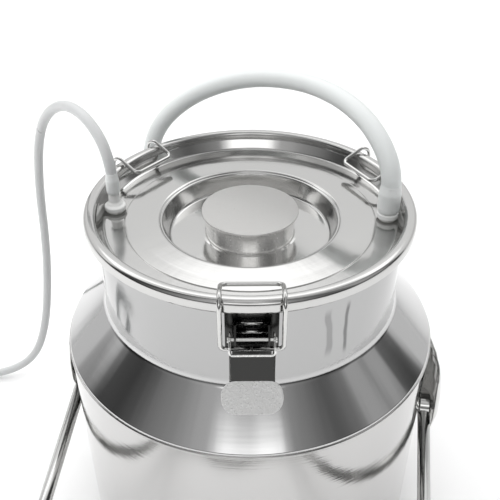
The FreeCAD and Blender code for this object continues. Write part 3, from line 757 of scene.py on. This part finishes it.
def ear(name, turn, open_side, nodes):
    """A pressed ear with its slot, from the section's round arc at each height."""
    bm = bmesh.new()
    rows = []
    for k in range(EAR_ROWS + 1):
        height = EAR_BOTTOM + (EAR_TOP - EAR_BOTTOM) * k / EAR_ROWS
        reach, half = ear_section(height)
        depth = reach - EAR_FOOT
        radius = (half * half + depth * depth) / (2.0 * depth)
        centre = reach - radius
        if reach > SLOT_REACH + 0.4:
            edge = -math.sqrt(max(radius * radius - (SLOT_REACH - centre) ** 2, 0.0))
        else:
            edge = SLOT_PAST
        back = math.sqrt(max(radius * radius - (CAN_REACH - centre) ** 2, 0.0))
        back = max(back, SLOT_PAST + 0.5)
        row = []
        for n in range(EAR_STEPS + 1):
            side = edge + (back - edge) * n / EAR_STEPS
            across = centre + math.sqrt(max(radius * radius - side * side, 0.0))
            row.append(bm.verts.new((across * MM, -open_side * side * MM, height * MM)))
        rows.append(row)
    for first, second in zip(rows, rows[1:]):
        for n in range(EAR_STEPS):
            bm.faces.new([first[n], first[n + 1], second[n + 1], second[n]])
    item = new_piece(name, bm)
    outward = item.data.polygons[400].normal.x
    if outward < 0:
        item.data.flip_normals()
    item.data.transform(Matrix.Rotation(turn, 4, "Z"))
    skin = item.modifiers.new("skin", "SOLIDIFY")
    skin.thickness = EAR_SHEET * MM
    skin.offset = -1.0
    return finish_piece(item, "can", nodes, steel_rod)


ear("ear_shell_right", -EAR_TURN, -1.0, ("ear_right",))
ear("ear_shell_left", math.pi - EAR_TURN, 1.0, ("ear_left",))

bail_place = (
    Matrix.Translation((0, 0, PIVOT_HEIGHT)) @ Matrix.Rotation(-EAR_TURN, 4, "Z")
    @ Matrix.Rotation(-BAIL_LEAN, 4, "X")
)
bail_line = bent(
    [
        (-BAIL_HALF_WIDTH, 0, -BAIL_START), (-BAIL_HALF_WIDTH, 0, -BAIL_LENGTH),
        (BAIL_HALF_WIDTH, 0, -BAIL_LENGTH), (BAIL_HALF_WIDTH, 0, -BAIL_START),
    ],
    [BAIL_CORNER, BAIL_CORNER], 24,
)
bail_tube = bar("bail_tube", bail_line, BAIL_RADIUS, bail_place)
finish_piece(bail_tube, "carry_bail", ("carry_bail",), steel_rod)
for side, sign in (("left", -1.0), ("right", 1.0)):
    eye_place = bail_place @ Matrix.Translation((sign * BAIL_HALF_WIDTH * MM, 0, 0))
    eye_place = eye_place @ Matrix.Rotation(math.pi / 2.0, 4, "Y")
    finish_piece(
        lathe(
            "bail_ring_" + side,
            [(4.08, -4.5, 0.3), (9.0, -4.5, 1.2), (9.0, 4.5, 1.2), (4.08, 4.5, 0.3)],
            segments=64, place=eye_place,
        ),
        "carry_bail", ("bail_eye_" + side,), steel_rod,
    )

# ---------------------------------------------------------------- latches

CRANK = Vector((117.705, 0.0, 250.639))
BEAD = Vector((110.8, 0.0, 278.8))
HOOK_ARCH, HOOK_KNEE, HOOK_CREST = 7.4, 28, 84
WIRE_SPAN = Vector((0, 18.7, 0))
WIRE_START = Vector((0, 0.4, 0))
WIRE_RADIUS = 1.4
HOOK_REACH, HOOK_LEVEL = 93.0, 279.6
LEVER_SHEET = 1.2
LATCH_PLACES = (("front", -89.4), ("right", 29.5), ("left", 142.0))


def at_bead(degrees):
    """A knee of the hook wire, in its arch over the lid's rolled rim."""
    angle = math.radians(degrees)
    arch = HOOK_ARCH / math.cos(math.radians(HOOK_KNEE))
    return BEAD + Vector((math.cos(angle), 0, math.sin(angle))) * arch


def upright_plate(name, corners, middle, thickness, turn, bevel=0.25):
    """A plate square to the can's side, its outline given as (out, up, corner radius)."""
    stand = Matrix(((1, 0, 0, 0), (0, 0, -1, 0), (0, 1, 0, 0), (0, 0, 0, 1)))
    return slab(name, corners, thickness, turn @ Matrix.Translation((0, middle * MM, 0)) @ stand, bevel)


def facing_plate(name, corners, reach, up, lean, thickness, turn, bevel=0.25):
    """A plate that faces outwards, its outline given as (across, up, corner radius)."""
    face = Matrix(((0, 0, 1, 0), (1, 0, 0, 0), (0, 1, 0, 0), (0, 0, 0, 1)))
    tilt = Matrix.Rotation(math.radians(-lean), 4, "Y")
    place = turn @ Matrix.Translation((reach * MM, 0, up * MM)) @ tilt @ face
    return slab(name, corners, thickness, place, bevel)


def latch(place, degrees):
    """A toggle latch: the lever's sides, web, edge and tab, two ribs on its base, and the hook wire."""
    turn = Matrix.Rotation(math.radians(degrees), 4, "Z")
    lever = "latch_lever_" + place
    side = [
        (114.4, 248.0, 1.5), (121.4, 230.6, 1.0), (125.2, 230.6, 0.3), (125.2, 256.4, 2.5), (122.8, 262.4, 2.5),
        (115.4, 262.9, 2.5), (113.8, 258.0, 2.0),
    ]
    for index, middle in enumerate((-13.0, 13.0)):
        plate = upright_plate(f"lever_side_{place}_{index}", side, middle, LEVER_SHEET, turn)
        finish_piece(plate, lever, (), steel_latch)
    web = [
        (-13.6, 230.8, 0.3), (13.6, 230.8, 0.3), (13.6, 256.4, 0.6), (12.3, 256.4, 0.4), (12.3, 251.8, 3.0),
        (-12.3, 251.8, 3.0), (-12.3, 256.4, 0.4), (-13.6, 256.4, 0.6),
    ]
    # The web takes the near-black painted shade.
    plate = facing_plate(f"lever_web_{place}", web, 124.6, 0.0, 0.0, LEVER_SHEET, turn)
    finish_piece(plate, lever, (lever,), latch_painted_shade)
    # A thin bar along the web's U edge, made light as a painted highlight of the sheet's edge.
    trim = bent(
        [(125.0, -13.3, 258.0), (125.0, -13.3, 251.9), (125.0, 13.3, 251.9), (125.0, 13.3, 258.0)], [2.4, 2.4], 6
    )
    finish_piece(bar("lever_edge_" + place, trim, 0.65, turn), lever, (), steel_painted_highlight)
    for index, height in enumerate((263.0, 256.6)):
        rib = [Vector((109.2, -9.4, height)), Vector((109.2, 9.4, height))]
        finish_piece(bar(f"base_rib_{place}_{index}", rib, 1.05, turn), "can", (), steel_rod)
    tab = [(-18.6, 0.3, 9.0), (18.6, 0.3, 9.0), (18.6, -20.5, 9.2), (-18.6, -20.5, 9.2)]
    plate = facing_plate(f"lever_tab_{place}", tab, 124.7, 231.4, 30.0, LEVER_SHEET, turn, 0.4)
    finish_piece(plate, lever, (), tab_painted_sheen)
    line = bent(
        [
            CRANK + WIRE_START, CRANK + WIRE_SPAN,
            at_bead(HOOK_KNEE) + WIRE_SPAN, at_bead(HOOK_CREST) + WIRE_SPAN,
            (HOOK_REACH, WIRE_SPAN.y, HOOK_LEVEL), (HOOK_REACH, -WIRE_SPAN.y, HOOK_LEVEL),
            at_bead(HOOK_CREST) - WIRE_SPAN, at_bead(HOOK_KNEE) - WIRE_SPAN,
            CRANK - WIRE_SPAN, CRANK - WIRE_START,
        ],
        [3.0, 7.3, 7.3, 4.5, 4.5, 7.3, 7.3, 3.0],
    )
    finish_piece(
        bar("hook_wire_" + place, line, WIRE_RADIUS, turn), "latch_wire_" + place, ("latch_wire_" + place,),
        steel_rod,
    )


for place, degrees in LATCH_PLACES:
    latch(place, degrees)

# ---------------------------------------------------------------- pieces kept from the CAD

# The latch base takes the near-black painted shade too.
KEPT = {
    "latch_base": (latch_painted_shade, 0.3), "latch_axle": (steel_rod, 0.3), "bail_stud": (steel_rod, 0.4),
    "milk_seal": (gasket_white, 0.1), "vacuum_seal": (gasket_white, 0.1), "milk_nut": (plastic, 0.3),
    "vacuum_nut": (plastic, 0.3), "milk_hose_coil_tie": (strap_white, 0.2),
    "vacuum_hose_coil_tie": (strap_white, 0.2),
    "milk_hose_connector": (plastic, 0.3), "vacuum_hose_connector": (plastic, 0.3),
}
for name, item in nodes.items():
    for start, (matter, width) in KEPT.items():
        if name.startswith(start):
            item.data.materials.clear()
            item.data.materials.append(matter)
            edge = item.modifiers.new("edge", "BEVEL")
            edge.width = width * MM
            edge.segments = 2
            edge.limit_method = "ANGLE"
            edge.angle_limit = math.radians(40)

scene.view_settings.view_transform = "Standard"
